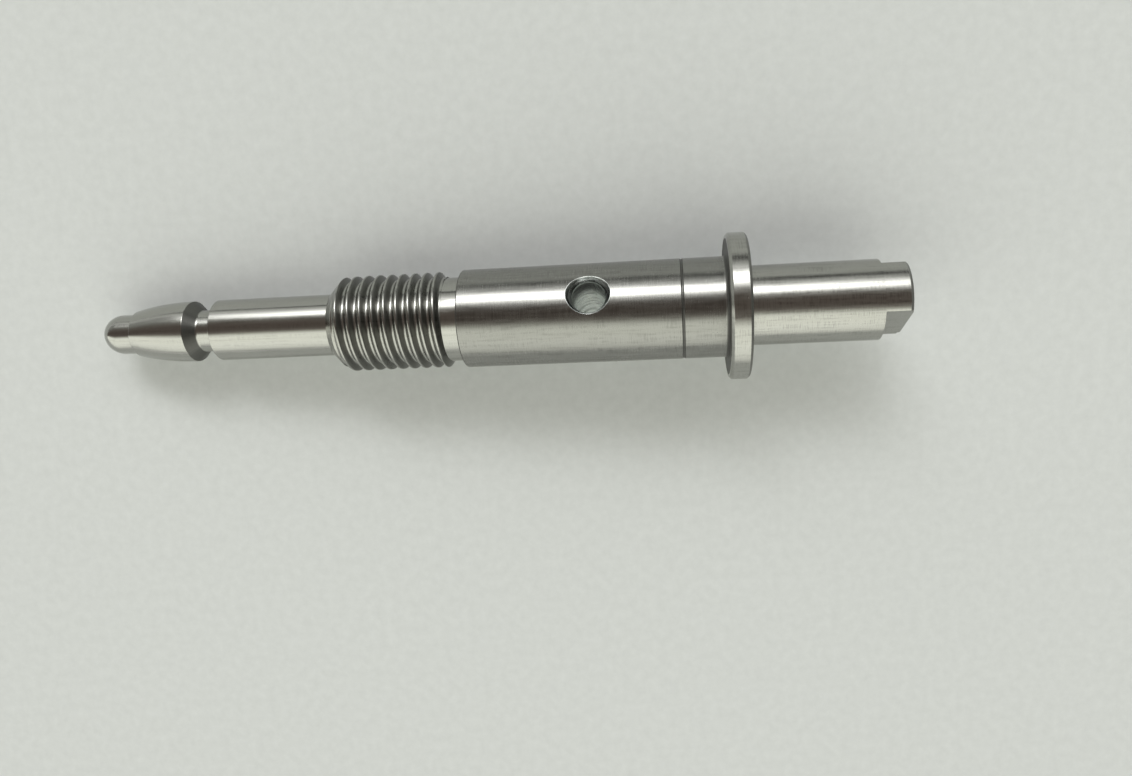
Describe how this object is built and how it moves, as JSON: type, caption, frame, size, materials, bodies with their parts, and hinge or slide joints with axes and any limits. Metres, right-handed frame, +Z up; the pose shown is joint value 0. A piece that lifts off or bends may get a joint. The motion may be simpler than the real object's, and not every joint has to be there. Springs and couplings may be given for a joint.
{
  "type": "turned shaft",
  "caption": "Turned steel shaft with a barbed nose, fine-pitch threaded neck, cross-drilled body, thin collar and flatted tang.",
  "frame": {"origin": "centre of the bounding box's underside, on the surface that the shaft lies on", "axes": "+X runs along the shaft from the nose to the tang, +Z is up; the shaft's own axis rises about 3.5 degrees towards the tang, because it lies on its collar and its thread"},
  "size_m": [0.0834, 0.0144, 0.0146],
  "materials": {
    "turned_steel": "fine turned finish, bright, with rings left by the cutting tool"
  },
  "bodies": {
    "root": {"turned_shaft": "turned_steel"}
  },
  "joints": []
}
